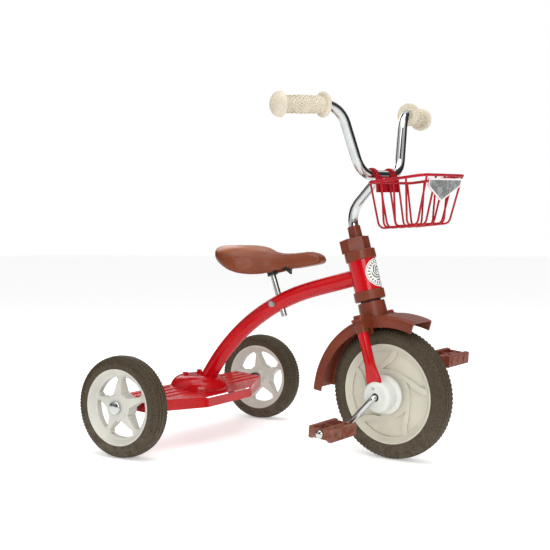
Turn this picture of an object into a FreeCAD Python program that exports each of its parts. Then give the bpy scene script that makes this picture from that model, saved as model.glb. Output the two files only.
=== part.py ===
"""Children's pedal tricycle, modelled in millimetres.

The rear axle lies across the frame, +X points forward, +Y to the rider's left and
+Z up.  The origin is on the ground, in the middle of the whole vehicle.  Everything
that turns with the handlebar is drawn straight ahead about the front wheel's centre
and is then swung as one about the steering axis.
"""
import FreeCAD, Part
import math
import os
import re

import Sketcher

Vector = FreeCAD.Vector
Placement = FreeCAD.Placement
Rotation = FreeCAD.Rotation

doc = FreeCAD.newDocument("tricycle")

# ---------------------------------------------------------------- driving dimensions

DIMENSIONS = """
origin_forward 244.7
wheelbase 456              rear axle to front wheel centre
rake 14.26                 lean of the steering axis
steer -8.69                how far the front is turned to the right at rest

rear_track 508             between the rear wheels' middle planes
rear_radius 99.5           rear tyre
rear_lip 74.6              rear wheel's rim lip radius
rear_half 20               half the rear tyre's width
rear_hub 24                rear hub disc radius
rear_turn_left 10          how far the left rear wheel has rolled
rear_turn_right -20        how far the right rear wheel has rolled
axle_radius 5              rear axle rod
axle_half 276              half the rear axle's length

front_radius 127           front tyre
front_lip 96.7             front wheel's rim lip radius
front_half 21              half the front tyre's width
wheel_boss 16              front hub boss radius
wheel_boss_half 41.5       half the front hub boss's length

crank_radius 5.5           crank rod
crank_throw 75             crank arm, centre to pin
crank_turn 132             turn of the right arm from straight ahead, downwards
crank_bend 10              bend radius of the crank
crank_shoulder 64          where each arm leaves the axle line
pin_shoulder 78            where each pin leaves its arm
pin_end 165                end of the pedal pin
pedal_start 87.5           inner end of the pedal
pedal_length 78            along the pin
pedal_depth 53             fore and aft
pedal_height 23            tread height
pedal_tilt 6               nose-down lean of the pedals

head_radius 27             head tube
head_wall 2
head_low 190               bottom of the head tube, up the steering axis
head_high 275              top of the head tube
cup_radius 30.3            plastic head cups
badge_radius 28            round badge on the head tube, measured round the tube
cup_height 18.8
steerer_radius 12.7
steerer_low 140
steerer_high 300
nut_flat 50.5              across the flats of the steering nut
nut_low 282.6
nut_high 308
nut_offset 6               nut's eccentric lobe, rearwards
sleeve_radius 12.5         sleeve above the nut
sleeve_high 332

tube_radius 16.5           main tube
tube_wall 1.6
tube_bend 430              radius of its long bend
tube_slope_top 14
tube_slope_foot 55
tube_bend_start 290        where the long bend begins, ahead of the rear axle
tube_bend_height 325.6
tube_foot_height 104
foot_point_x 41.8          a point on the tube's middle line above the step
foot_point_z 155

step_half 214              half the step's width
step_middle_half 78        half the width of its forward apron
step_front 80              front edge of the apron
step_end_front 30          front edge at the ends
step_rear -50              rear edge
step_top_rear 113.5        height along the rear edge
step_top_front 101         height along the front edge
step_lip_low 79            bottom of the front lip
step_sheet 2               thickness of the pressed sheet
hump_radius 63             raised boss under the main tube's foot
hump_flat 40               its flat top
hump_top 133

post_radius 6              seat post
post_lean 18               forward lean of the post, going down
post_top_x 184             point on the post under the saddle
post_top_z 364.6
post_length 103
seat_bolt_back 10.2        seat bolt behind the post
seat_bolt_radius 3

blade_radius 10.3          fork blades
blade_out 50               blade from the middle plane
blade_high 158
blade_round_low 62         where the blade starts to flatten
blade_flat_low 34          where it is fully flat
foot_half 16               half the flattened foot's width
foot_thick 8
bush_radius 8.5            plastic bush in the foot
bush_gap 0.06              running clearance in plastic bushes
cover_flange 37.5          hub cover's flange radius
cover_radius 31            hub cover's drum radius
cover_inner 23.5           flange face from the middle plane
cover_outer 58.5           outer face
cover_wall 2.5

guard_centre_x 10.5        centre of the mudguard's arc, from the wheel centre
guard_centre_z -28
guard_radius 181
guard_front 70             angle of its front end above straight ahead
guard_rear 172             angle of its rear end
guard_half 34
guard_depth 22.5           depth of its side skirts
guard_wall 3
neck_radius 26.3           moulded neck below the lower head cup
neck_high 179.3

bar_radius 9.5             handlebar tube
bar_wall 1.5
bar_end_x -68.1            outer end of the bar, from the wheel centre
bar_end_y 237.4
bar_end_z 541.7
bar_top_x -30.5            upper bend
bar_top_y 108.6
bar_top_z 545.8
bar_low_x -16.5            lower bend and bottom bar
bar_low_y 65.1
bar_low_z 418.3
bar_bend_top 50
bar_bend_low 45
stem_slope 43.5            upward slope of the stem's forward run
stem_bend 55
stem_low 262               bottom of the stem, up the steering axis
grip_flange 23.2
grip_body 14
grip_length 95.7           between the two flanges' middles

rim_wire 2.7               basket rim, radius
rib_wire 1.9               basket ribs, radius
basket_tilt 4.5              nose-up lean of the basket
basket_back 19.5             rim's rear run, ahead of the bottom bar
basket_drop 15.5           rim's rear run, below the bottom bar
basket_depth 121
basket_half 75
basket_height 86
basket_corner 14
hook_gap 0.3
hook_thick 4
hook_width 6
hook_out 29.5
"""


def read_dimensions(text):
    """Fill the sheet, one row for each dimension, and return the set of names."""
    sheet = doc.addObject("Spreadsheet::Sheet", "sizes")
    names = set()
    rows = [line.split(None, 2) for line in text.splitlines() if line.strip()]
    for row, words in enumerate(rows, 1):
        sheet.set("A%d" % row, words[0])
        sheet.set("B%d" % row, words[1])
        sheet.setAlias("B%d" % row, words[0])
        if len(words) > 2:
            sheet.set("C%d" % row, words[2])
        names.add(words[0])
    doc.recompute()
    return sheet, names


sizes, NAMES = read_dimensions(DIMENSIONS)


def bound(formula):
    """The formula as another object has to write it, with the sheet's name in front."""
    return re.sub(r"[a-z_]+", lambda word: "sizes." + word.group() if word.group() in NAMES
                  else word.group(), str(formula))


def num(formula):
    """The formula's value now."""
    value = sizes.evalExpression(str(formula))
    return float(getattr(value, "Value", value))


# ---------------------------------------------------------------- drawing helpers

def new_body(label):
    body = doc.addObject("PartDesign::Body", label)
    body.Label = label
    return body


def sketch_on(body, role):
    """A sketch on one of the body's own origin planes: XY_Plane, XZ_Plane or YZ_Plane."""
    sketch = body.newObject("Sketcher::SketchObject", body.Label + "_sketch")
    plane = next(item for item in body.Origin.OriginFeatures if item.Role == role)
    sketch.AttachmentSupport = [(plane, "")]
    sketch.MapMode = "FlatFace"
    return sketch


def hold(sketch, kind, element, point, formula):
    """A driving distance or radius whose value follows the sheet."""
    where = (element,) if point is None else (element, point)
    index = sketch.addConstraint(Sketcher.Constraint(kind, *where, num(formula)))
    sketch.setExpression("Constraints[%d]" % index, bound(formula))


def outline(sketch, corners, closed=True):
    """Lines and arcs through the corners, each corner held by its two distances.

    A corner is (x, y), or (x, y, radius) where an arc leads to it; a positive radius
    has its centre on the left of the way from the corner before.
    """
    points = [Vector(num(corner[0]), num(corner[1]), 0) for corner in corners]
    first = sketch.GeometryCount
    ends = []
    for index in range(len(corners) if closed else len(corners) - 1):
        after = (index + 1) % len(corners)
        start, end = points[index], points[after]
        if len(corners[after]) == 3:
            radius = num(corners[after][2])
            chord = end - start
            left = Vector(-chord.y, chord.x, 0).normalize() * math.copysign(1, radius)
            reach = math.sqrt(max(radius ** 2 - (chord.Length / 2) ** 2, 0))
            centre = start + chord / 2 + left * reach
            element = sketch.addGeometry(Part.Arc(start, centre - left * abs(radius), end))
            hold(sketch, "Radius", element, None, "abs(%s)" % corners[after][2])
        else:
            element = sketch.addGeometry(Part.LineSegment(start, end))
        forward = (sketch.getPoint(element, 1) - start).Length < 1e-6
        ends.append((element, 1 if forward else 2, 2 if forward else 1))
    for index, (element, start, end) in enumerate(ends):
        if closed or index + 1 < len(ends):
            following = ends[(index + 1) % len(ends)]
            sketch.addConstraint(Sketcher.Constraint(
                "Coincident", element, end, following[0], following[1]))
        hold(sketch, "DistanceX", element, start, corners[index][0])
        hold(sketch, "DistanceY", element, start, corners[index][1])
    if not closed:
        hold(sketch, "DistanceX", ends[-1][0], ends[-1][2], corners[-1][0])
        hold(sketch, "DistanceY", ends[-1][0], ends[-1][2], corners[-1][1])
    return list(range(first, sketch.GeometryCount))


def circle(sketch, x, y, radius):
    centre = Vector(num(x), num(y), 0)
    element = sketch.addGeometry(Part.Circle(centre, Vector(0, 0, 1), num(radius)))
    hold(sketch, "DistanceX", element, 3, x)
    hold(sketch, "DistanceY", element, 3, y)
    hold(sketch, "Radius", element, None, radius)
    return element


def lathe(label, corners, role="XY_Plane"):
    """A turned piece: the closed outline spun about the sketch's vertical axis."""
    body = new_body(label)
    sketch = sketch_on(body, role)
    outline(sketch, corners)
    turn = body.newObject("PartDesign::Revolution", label + "_turn")
    turn.Profile = sketch
    turn.ReferenceAxis = (sketch, ["V_Axis"])
    turn.Angle = 360
    return body


def pad(body, sketch, length, middle=False, back=False):
    """A Pad along the sketch's normal, or evenly both ways."""
    piece = body.newObject("PartDesign::Pad", body.Label + "_pad")
    piece.Profile = sketch
    piece.setExpression("Length", bound(length))
    piece.Midplane = middle
    piece.Reversed = back
    return piece


def pocket(body, sketch, back=False):
    """A Pocket right through the body, both ways."""
    piece = body.newObject("PartDesign::Pocket", body.Label + "_pocket")
    piece.Profile = sketch
    piece.Type = "ThroughAll"
    piece.Midplane = True
    piece.Reversed = back
    return piece


def tube(label, corners, radius, wall=None):
    """A round rod or tube along a path of lines and arcs drawn in the XZ plane."""
    body = new_body(label)
    path = sketch_on(body, "XZ_Plane")
    edges = outline(path, corners, closed=False)
    ring = body.newObject("Sketcher::SketchObject", label + "_ring")
    ring.AttachmentSupport = [(path, "Edge1")]
    ring.MapMode = "NormalToEdge"
    circle(ring, "0", "0", radius)
    if wall:
        circle(ring, "0", "0", "%s - %s" % (radius, wall))
    doc.recompute()
    pipe = body.newObject("PartDesign::AdditivePipe", label + "_pipe")
    pipe.Profile = ring
    pipe.Spine = (path, ["Edge%d" % (index + 1) for index in range(len(edges))])
    return body


def rod(label, radius, height, base=(0, 0, 0), direction=(0, 0, 1)):
    """A Part::Cylinder from a base point along a direction."""
    piece = doc.addObject("Part::Cylinder", label)
    piece.setExpression("Radius", bound(radius))
    piece.setExpression("Height", bound(height))
    piece.Placement = Placement(Vector(*base), Rotation(Vector(0, 0, 1), Vector(*direction)))
    return piece


def boolean(kind, label, *pieces):
    """Part::Cut of the first by the second, or Part::MultiFuse / MultiCommon of all."""
    piece = doc.addObject("Part::" + kind, label)
    if kind == "Cut":
        piece.Base, piece.Tool = pieces
    else:
        piece.Shapes = list(pieces)
    return piece


def made(label, shape):
    """A sub-part whose shape is worked out here from the sheet."""
    piece = doc.addObject("Part::Feature", label)
    piece.Label = label
    piece.Shape = shape
    return piece


def rounded_path(points, radii):
    """One wire of straight runs joined by tangent arcs, one radius for each inner point."""
    edges = []
    start = points[0]
    for before, corner, after, radius in zip(points, points[1:], points[2:], radii):
        back = (before - corner).normalize()
        ahead = (after - corner).normalize()
        half = back.getAngle(ahead) / 2
        run = radius / math.tan(half)
        centre = corner + (back + ahead).normalize() * (radius / math.sin(half))
        inner = centre + (corner - centre).normalize() * radius
        first, last = corner + back * run, corner + ahead * run
        if (first - start).Length > 1e-6:
            edges.append(Part.LineSegment(start, first).toShape())
        edges.append(Part.Arc(first, inner, last).toShape())
        start = last
    if (points[-1] - start).Length > 1e-6:
        edges.append(Part.LineSegment(start, points[-1]).toShape())
    return Part.Wire(edges)


def swept(path, radius):
    """A round solid along a wire."""
    edge = path.OrderedEdges[0]
    start = edge.valueAt(edge.FirstParameter)
    tangent = edge.tangentAt(edge.FirstParameter)
    ring = Part.Wire(Part.makeCircle(radius, start, tangent))
    return path.makePipeShell([ring], True, True)


PARTS = []


def keep(piece, place):
    """Put a finished sub-part in its place and list it for writing."""
    piece.Placement = place.multiply(piece.Placement)
    PARTS.append(piece)
    return piece


# ---------------------------------------------------------------- where things go

WHEEL = Vector(num("wheelbase"), 0, num("front_radius"))
AXIS = Vector(-num("sin(rake)"), 0, num("cos(rake)"))
CROSS = Vector(0, 1, 0)

frame_at = Placement(Vector(-num("origin_forward"), 0, 0), Rotation())
head_at = frame_at * Placement(WHEEL, Rotation(CROSS, -num("rake")))
steer_at = frame_at * Placement(WHEEL, Rotation(AXIS, num("steer")))
fork_at = steer_at * Placement(Vector(), Rotation(CROSS, -num("rake")))


def axle_point(side):
    """The middle of a rear wheel: side is +1 on the left and -1 on the right."""
    return Vector(0, side * num("rear_track / 2"), num("rear_radius"))


# ---------------------------------------------------------------- main frame

def make_main_tube():
    """The long bent tube, saddled to the head tube and drilled for the seat post."""
    slope_top, slope_foot = "tube_slope_top", "tube_slope_foot"
    head_run = "(wheelbase - (tube_bend_height + 27 - front_radius) * tan(rake) - tube_bend_start)"
    foot_x = "(tube_bend_start + tube_bend * (sin(tube_slope_top) - sin(tube_slope_foot)))"
    foot_z = "(tube_bend_height - tube_bend * (cos(tube_slope_top) - cos(tube_slope_foot)))"
    body = tube("main_tube_bent", [
        ("tube_bend_start + %s" % head_run, "tube_bend_height + %s * tan(%s)" % (head_run, slope_top)),
        ("tube_bend_start", "tube_bend_height"),
        (foot_x, foot_z, "tube_bend"),
        ("%s - (%s - tube_foot_height) / tan(%s)" % (foot_x, foot_z, slope_foot), "tube_foot_height"),
    ], "tube_radius", "tube_wall")
    head = rod("head_saddle", "head_radius", "200")
    head.Placement = Placement(WHEEL, Rotation(CROSS, -num("rake"))) * Placement(
        Vector(0, 0, 130), Rotation())
    post = rod("post_hole", "post_radius + 0.25", "120")
    post.Placement = post_line(-5)
    bolt = rod("bolt_hole", "seat_bolt_radius + 0.2", "60", direction=(0, 1, 0))
    bolt.Placement.Base = seat_bolt_centre() - Vector(0, 30, 0)
    tools = boolean("MultiFuse", "main_tube_tools", head, post, bolt)
    return boolean("Cut", "main_tube", body, tools)


def post_line(start):
    """Placement of a rod down the seat post's axis, starting this far down from its top."""
    lean = num("post_lean")
    down = Rotation(CROSS, 180 - lean)
    top = Vector(num("post_top_x"), 0, num("post_top_z"))
    return Placement(top + down.multVec(Vector(0, 0, start)), down)


def seat_bolt_centre():
    """Where the seat bolt crosses the main tube, just behind the post."""
    line = post_line(73)
    back = line.Rotation.multVec(Vector(1, 0, 0))
    return line.Base + back * (num("seat_bolt_back") * (1 if back.x < 0 else -1))


keep(make_main_tube(), frame_at)


def make_head_tube():
    body = new_body("head_tube")
    sketch = sketch_on(body, "XY_Plane")
    circle(sketch, "0", "0", "head_radius")
    circle(sketch, "0", "0", "head_radius - head_wall")
    sketch.AttachmentOffset = Placement(Vector(0, 0, num("head_low")), Rotation())
    pad(body, sketch, "head_high - head_low")
    return body


keep(make_head_tube(), head_at)


def make_head_cup(label, outer, inner):
    """A plastic cup pushed over one end of the head tube; its bore carries the steerer."""
    bore = "steerer_radius + bush_gap"
    way = 1 if num(outer) > num(inner) else -1
    skirt = "%s - %d * (cup_height - 7)" % (inner, way)
    return lathe(label, [
        (bore, "%s - %d * 12" % (inner, way)),
        ("head_radius - head_wall", "%s - %d * 12" % (inner, way)),
        ("head_radius - head_wall", inner),
        ("head_radius", inner),
        ("head_radius", skirt),
        ("cup_radius - 0.8", skirt),
        ("cup_radius", "%s + %d * 0.8" % (skirt, way)),
        ("cup_radius", "%s - %d * 1.5" % (outer, way)),
        ("cup_radius - 1.5", outer),
        (bore, outer),
    ], "XZ_Plane")


keep(make_head_cup("head_cup_upper", "head_high + 7", "head_high"), head_at)
keep(make_head_cup("head_cup_lower", "head_low - 7", "head_low"), head_at)


def make_head_badge():
    """A thin round sticker wrapped round the front of the head tube."""
    middle, tube_round, radius = num("(head_low + head_high) / 2"), num("head_radius"), num("badge_radius")
    ring = Part.makeCylinder(tube_round + 0.6, 80, Vector(0, 0, middle - 40))
    ring = ring.cut(Part.makeCylinder(tube_round, 80, Vector(0, 0, middle - 40)))
    edge = []
    for turn in range(0, 360, 15):
        around, up = radius * math.cos(math.radians(turn)), radius * math.sin(math.radians(turn))
        edge.append(Vector(0, tube_round * math.sin(around / tube_round), middle + up))
    curve = Part.BSplineCurve()
    curve.interpolate(edge, True)
    disc = Part.Face(Part.Wire([curve.toShape()])).extrude(Vector(60, 0, 0))
    return made("head_badge", ring.common(disc))


keep(make_head_badge(), head_at)


def step_side(drop):
    """The step seen from the side: the sloping deck with its front and rear lips."""
    front, rear = num("step_front"), num("step_rear") + drop
    low = num("step_lip_low") - (5 if drop else 0)
    top_front, top_rear = num("step_top_front") - drop, num("step_top_rear") - drop
    points = [Vector(rear, 0, 88 - (20 if drop else 0)), Vector(rear, 0, top_rear - 5),
              Vector(rear + 5, 0, top_rear), Vector(front - 6, 0, top_front),
              Vector(front, 0, top_front - 5), Vector(front, 0, low)]
    if drop:
        points[-3:] = [Vector(front, 0, top_front), Vector(front, 0, low)]
        return Part.Face(Part.makePolygon([points[0], points[1], points[2], points[3],
                                           points[4], points[0]]))
    return Part.Face(Part.makePolygon(points + [points[0]]))


def step_plan(inset):
    """The step seen from above, with its front edge swept back towards the wheels."""
    half, middle = num("step_half") - inset, num("step_middle_half") - inset / 2
    front, end = num("step_front") - inset, num("step_end_front") - inset
    rear = num("step_rear") - 10 + (inset and 12)
    right = [Vector(rear, -half, 0), Vector(end - 8, -half, 0), Vector(end, -half + 12, 0),
             Vector(front, -middle - 26, 0), Vector(front, -middle, 0)]
    right[3] = Vector(front - 4, -middle - 12, 0)
    left = [Vector(point.x, -point.y, 0) for point in reversed(right)]
    return Part.Face(Part.makePolygon(right + left + [right[0]]))


STEP_BOLTS = ((-18, -26), (-18, 26))


def make_rear_step():
    """The pressed footboard: a ribbed deck with lips all round and a raised boss."""
    sheet = num("step_sheet")
    wide = 2 * num("step_half") + 10

    def block(drop):
        side = step_side(drop).copy()
        side.translate(Vector(0, -wide / 2, 0))
        plan = step_plan(drop)
        plan.translate(Vector(0, 0, 50))
        deck = side.extrude(Vector(0, wide, 0)).common(plan.extrude(Vector(0, 0, 100)))
        base, brim, flat, top = 100 - drop, num("hump_radius") - drop, num("hump_flat") - drop, num("hump_top") - drop
        low, middle, high = (Vector(brim, 0, base), Vector(brim - 7, 0, top - 10), Vector(flat, 0, top))
        edges = [Part.LineSegment(Vector(0, 0, base), low), Part.Arc(low, middle, high),
                 Part.LineSegment(high, Vector(0, 0, top)), Part.LineSegment(Vector(0, 0, top), Vector(0, 0, base))]
        outline_wire = Part.Wire([edge.toShape() for edge in edges])
        return deck.fuse(Part.Face(outline_wire).revolve(Vector(), Vector(0, 0, 1), 360))

    shell = block(0).cut(block(sheet))
    top = num("step_top_front")
    slope = math.degrees(math.atan2(num("step_top_rear") - top, num("step_front - step_rear") - 11))
    ribs = []
    for index in range(4):
        along = -32 + 19 * index
        height = num("step_top_rear") - (along + 45) * math.tan(math.radians(slope))
        for side in (-1, 1):
            start = 66 if abs(along) < 45 else 40
            rib = Part.makeCylinder(3.2, num("step_half") - 16 - start,
                                    Vector(along, side * start, height - 1.2),
                                    Vector(0, side, 0))
            ribs.append(rib.common(Part.makeBox(200, 500, 20, Vector(-100, -250, height - 1.2))))
    shell = shell.fuse(ribs)
    holes = [Part.makeCylinder(num("axle_radius") + 0.05, 500, Vector(0, -250, num("rear_radius")),
                               Vector(0, 1, 0))]
    foot = num("tube_radius")
    lean = Vector(math.cos(math.radians(num("tube_slope_foot"))), 0,
                  math.sin(math.radians(num("tube_slope_foot"))))
    foot_base = Vector(num("foot_point_x"), 0, num("foot_point_z")) - lean * 80
    holes.append(Part.makeCylinder(foot, 80, foot_base, lean))
    for x, y in STEP_BOLTS:
        holes.append(Part.makeCylinder(3.2, 60, Vector(x, y, 80)))
    return made("rear_step", shell.cut(holes).removeSplitter())


keep(make_rear_step(), frame_at)


def hexagon(flats, height, base, direction=Vector(0, 0, 1)):
    """A hexagonal prism, for bolt heads and nuts."""
    turn = Rotation(Vector(0, 0, 1), direction)
    corners = [base + turn.multVec(Vector(math.cos(angle), math.sin(angle), 0)
                                   * flats / math.sqrt(3))
               for angle in (math.radians(60 * index + 30) for index in range(7))]
    return Part.Face(Part.makePolygon(corners)).extrude(turn.multVec(Vector(0, 0, height)))


def make_step_bolts():
    """The two bolts through the step's boss, each with its washer."""
    top = num("hump_top")
    bolts = []
    for x, y in STEP_BOLTS:
        shank = Part.makeCylinder(3, top - 96, Vector(x, y, 96))
        washer = Part.makeCylinder(7, 1.5, Vector(x, y, top))
        bolts.append(shank.fuse([washer, hexagon(10, 5, Vector(x, y, top + 1.5))]).removeSplitter())
    return made("step_bolts", Part.makeCompound(bolts))


def make_step_nuts():
    under = num("hump_top - step_sheet")
    nuts = [hexagon(10, 5, Vector(x, y, under - 5)).cut(Part.makeCylinder(3, 9, Vector(x, y, under - 7)))
            for x, y in STEP_BOLTS]
    return made("step_nuts", Part.makeCompound(nuts))


keep(make_step_bolts(), frame_at)
keep(make_step_nuts(), frame_at)


def make_rear_axle():
    length = "2 * axle_half"
    piece = rod("rear_axle", "axle_radius", length, direction=(0, 1, 0))
    piece.Placement.Base = Vector(0, -num("axle_half"), num("rear_radius"))
    return piece


keep(make_rear_axle(), frame_at)


def at_axle(side, turn=0):
    """Placement of a rear wheel piece drawn about the Y axis, outer face towards +Y."""
    face = Rotation(Vector(0, 0, 1), 0 if side > 0 else 180)
    return frame_at * Placement(axle_point(side), Rotation(CROSS, turn) * face)


SIDES = (("left", 1), ("right", -1))

for name, side in SIDES:
    keep(lathe("axle_spacer_" + name, [
        ("axle_radius", "step_half - rear_track / 2 + 0.1"), ("11.5", "step_half - rear_track / 2 + 0.1"),
        ("11.5", "-24"), ("axle_radius", "-24")]), at_axle(side))
    keep(lathe("hub_cap_" + name, [
        ("axle_radius", "22.3"), ("13.5", "22.3"), ("13.5", "25.5"), ("11.5", "28.4", "4"),
        ("2", "30.2", "27"), ("0", "30.2"), ("0", "axle_half - rear_track / 2"),
        ("axle_radius", "axle_half - rear_track / 2")]), at_axle(side))


def make_seat_bolt():
    """A hex bolt across the main tube that locks the seat post, with its washer."""
    centre = seat_bolt_centre()
    side = num("tube_radius")
    shank = Part.makeCylinder(num("seat_bolt_radius"), 2 * side + 9,
                              centre - Vector(0, side + 1.5, 0), CROSS)
    washer = Part.makeCylinder(6.5, 1.2, centre - Vector(0, side + 1.4, 0), CROSS)
    head = hexagon(11, 4.5, centre - Vector(0, side + 5.9, 0), CROSS)
    return made("seat_bolt", shank.fuse([washer, head]).removeSplitter())


def make_seat_nut():
    centre = seat_bolt_centre()
    start = centre + Vector(0, num("tube_radius") + 0.1, 0)
    nut = hexagon(11, 5.5, start, CROSS)
    return made("seat_nut", nut.cut(Part.makeCylinder(num("seat_bolt_radius"), 9, start, CROSS)))


keep(make_seat_bolt(), frame_at)
keep(make_seat_nut(), frame_at)

# ---------------------------------------------------------------- seat

keep(rod("seat_post", "post_radius", "post_length"), frame_at * post_line(0))

# half-widths of the saddle along its length, with its top and its skirt's edge
SADDLE = ((66, 26, 406, 393), (76, 47, 411, 388), (96, 68, 411.5, 377), (124, 80, 411, 364),
          (150, 76, 408, 355), (172, 60, 402, 353), (195, 36, 397, 355), (225, 25, 394.5, 361),
          (260, 22, 397.5, 367), (292, 20, 397, 372), (308, 13, 388, 375))


def make_saddle():
    """The padded saddle as one closed solid, lofted through its cross-sections."""
    sections = []
    for x, half, top, low in SADDLE:
        shoulder = top - 0.35 * (top - low)
        curve = Part.BSplineCurve()
        curve.interpolate([Vector(x, -half, low), Vector(x, -half * 0.97, shoulder),
                           Vector(x, -half * 0.6, top), Vector(x, 0, top - 1),
                           Vector(x, half * 0.6, top), Vector(x, half * 0.97, shoulder),
                           Vector(x, half, low)])
        base = Part.LineSegment(Vector(x, half, low), Vector(x, -half, low))
        sections.append(Part.Wire([curve.toShape(), base.toShape()]))
    return Part.makeLoft(sections, True, False)


def make_seat():
    """The saddle, hollowed for the bracket that holds it on the post."""
    pan = Part.makeBox(66, 50, 60, Vector(168, -25, 330))
    return made("seat", make_saddle().cut(pan.common(
        Part.makeBox(66, 50, 46, Vector(168, -25, 330)))))


def make_seat_bracket():
    """The dark moulded socket under the saddle, with its rib towards the nose."""
    block = Part.makeBox(62, 46, 9, Vector(170, -23, 366.5))
    socket = post_line(-1)
    collar = Part.makeCylinder(11, 16).cut(Part.makeCylinder(num("post_radius"), 16))
    collar.Placement = socket
    drill = Part.makeCylinder(num("post_radius"), 40)
    drill.Placement = post_line(0)
    rib = Part.Face(Part.makePolygon([Vector(214, -4, 366.5), Vector(232, -4, 353),
                                      Vector(240, -4, 353), Vector(252, -4, 366.5),
                                      Vector(214, -4, 366.5)])).extrude(Vector(0, 8, 0))
    rib = rib.common(Part.makeBox(18, 8, 30, Vector(214, -4, 350)))
    body = block.cut(drill).fuse([collar.cut(block), rib])
    return made("seat_bracket", body.removeSplitter())


keep(make_seat(), frame_at)
keep(make_seat_bracket(), frame_at)


# ---------------------------------------------------------------- fork and mudguard

def make_steerer():
    body = new_body("steerer")
    sketch = sketch_on(body, "XY_Plane")
    sketch.AttachmentOffset = Placement(Vector(0, 0, num("steerer_low")), Rotation())
    circle(sketch, "0", "0", "steerer_radius")
    circle(sketch, "0", "0", "bar_radius + 0.05")
    pad(body, sketch, "steerer_high - steerer_low")
    return body


keep(make_steerer(), fork_at)

keep(lathe("thrust_washer", [
    ("steerer_radius", "neck_high"), ("20", "neck_high"),
    ("20", "head_low - 7 - 0.3"), ("steerer_radius", "head_low - 7 - 0.3")], "XZ_Plane"), fork_at)


def make_fork_bridge():
    """The pressed bridge that joins both blades to the foot of the steerer."""
    out = num("blade_out")
    plate = Part.makeBox(34, 2 * out, 5, Vector(-17, -out, 146))
    ends = [Part.makeCylinder(17, 5, Vector(0, side * out, 146)) for side in (-1, 1)]
    bores = [Part.makeCylinder(num("blade_radius"), 20, Vector(0, side * out, 140)) for side in (-1, 1)]
    bores.append(Part.makeCylinder(num("steerer_radius"), 20, Vector(0, 0, 140)))
    plate = plate.fuse(ends).common(Part.makeBox(23, 200, 20, Vector(-11.5, -100, 140)))
    plate = plate.fuse(Part.makeCylinder(17, 10, Vector(0, 0, 143.5)))
    return made("fork_bridge", plate.cut(bores).removeSplitter())


keep(make_fork_bridge(), fork_at)


def oval_wire(half, thick, straight, height):
    """A tube's section, more or less flattened: two round ends and two sides."""
    corners = [Vector(straight * x, thick * y / 2, height) for x, y in ((1, -1), (1, 1), (-1, 1), (-1, -1))]
    if straight * math.sqrt(2) > half:
        sides = [Vector(0, thick / 2, height), Vector(0, -thick / 2, height)]
    else:
        corners = [Vector(x * half * math.sqrt(0.5), y * half * math.sqrt(0.5), height)
                   for x, y in ((1, -1), (1, 1), (-1, 1), (-1, -1))]
        sides = [Vector(0, half, height), Vector(0, -half, height)]
    ends = [Vector(half, 0, height), Vector(-half, 0, height)]
    edges = [Part.Arc(corners[0], ends[0], corners[1]), Part.Arc(corners[2], ends[1], corners[3])]
    for first, middle, last in ((corners[1], sides[0], corners[2]), (corners[3], sides[1], corners[0])):
        edges.append(Part.LineSegment(first, last) if abs(middle.y) == thick / 2 and straight > half / 2
                     else Part.Arc(first, middle, last))
    edges = [edges[0], edges[2], edges[1], edges[3]]
    return Part.Wire([edge.toShape() for edge in edges])


def make_fork_blade(name, side):
    """A round blade, flattened at its foot round the wheel bush."""
    radius, low, flat = num("blade_radius"), num("blade_round_low"), num("blade_flat_low")
    half, thick = num("foot_half"), num("foot_thick")
    round_wire = oval_wire(radius, 2 * radius, 0, low)
    round_part = Part.Face(round_wire).extrude(Vector(0, 0, num("blade_high") - low))
    flat_wire = oval_wire(half, thick, half - 2, flat)
    taper = Part.makeLoft([round_wire, flat_wire], True, False)
    foot = Part.Face(flat_wire).extrude(Vector(0, 0, -flat))
    foot = foot.fuse(Part.makeCylinder(half - 0.5, thick, Vector(0, -thick / 2, 0), CROSS))
    blade = round_part.fuse([taper, foot])
    blade = blade.cut([Part.makeCylinder(num("bush_radius"), 20, Vector(0, -10, 0), CROSS),
                       Part.makeCylinder(2, 20, Vector(0, -10, 17), CROSS)])
    blade.translate(Vector(0, side * num("blade_out"), 0))
    return made("fork_blade_" + name, blade)


def make_hub_cover(name, side):
    """The white plastic cover over the fork's foot, slotted for the blade."""
    body = lathe("cover_shell_" + name, [
        ("cover_flange - cover_wall", "cover_inner"), ("cover_flange", "cover_inner"),
        ("cover_flange", "cover_inner + 3"), ("cover_radius + 2.5", "cover_inner + 5"),
        ("cover_radius", "cover_inner + 8"), ("cover_radius - 1", "cover_outer - 7"),
        ("cover_radius - 8", "cover_outer", "9"), ("8", "cover_outer"),
        ("8", "cover_outer - cover_wall"), ("cover_radius - 8.5", "cover_outer - cover_wall"),
        ("cover_radius - 1 - cover_wall", "cover_outer - 8", "-7"),
        ("cover_radius - cover_wall", "cover_inner + 9"),
        ("cover_radius - 0.5", "cover_inner + 6.5")])
    half, thick = num("foot_half") + 0.3, num("foot_thick") / 2 + 0.3
    slot = doc.addObject("Part::Box", "cover_slot_" + name)
    slot.Length, slot.Width, slot.Height = 2 * half, 2 * thick, 80
    slot.Placement = Placement(Vector(-half, num("blade_out") - thick, 8), Rotation())
    screw = rod("cover_screw_hole_" + name, "2", "30", (0, 45, 17), (0, 1, 0))
    tools = boolean("MultiFuse", "cover_tools_" + name, slot, screw)
    piece = boolean("Cut", "hub_cover_" + name, body, tools)
    if side < 0:
        piece.Placement = Placement(Vector(), Rotation(Vector(0, 0, 1), 180))
    return piece


for name, side in SIDES:
    keep(make_fork_blade(name, side), fork_at)
    keep(make_hub_cover(name, side), fork_at)
    turned = Placement(Vector(), Rotation(Vector(0, 0, 1), 0 if side > 0 else 180))
    inner = "blade_out - foot_thick / 2"
    keep(lathe("wheel_bush_" + name, [
        ("crank_radius + bush_gap", inner + " - 4"), ("12.5", inner + " - 4"), ("12.5", inner),
        ("bush_radius", inner), ("bush_radius", "cover_outer - cover_wall"),
        ("crank_radius + bush_gap", "cover_outer - cover_wall")]), fork_at * turned)


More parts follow.
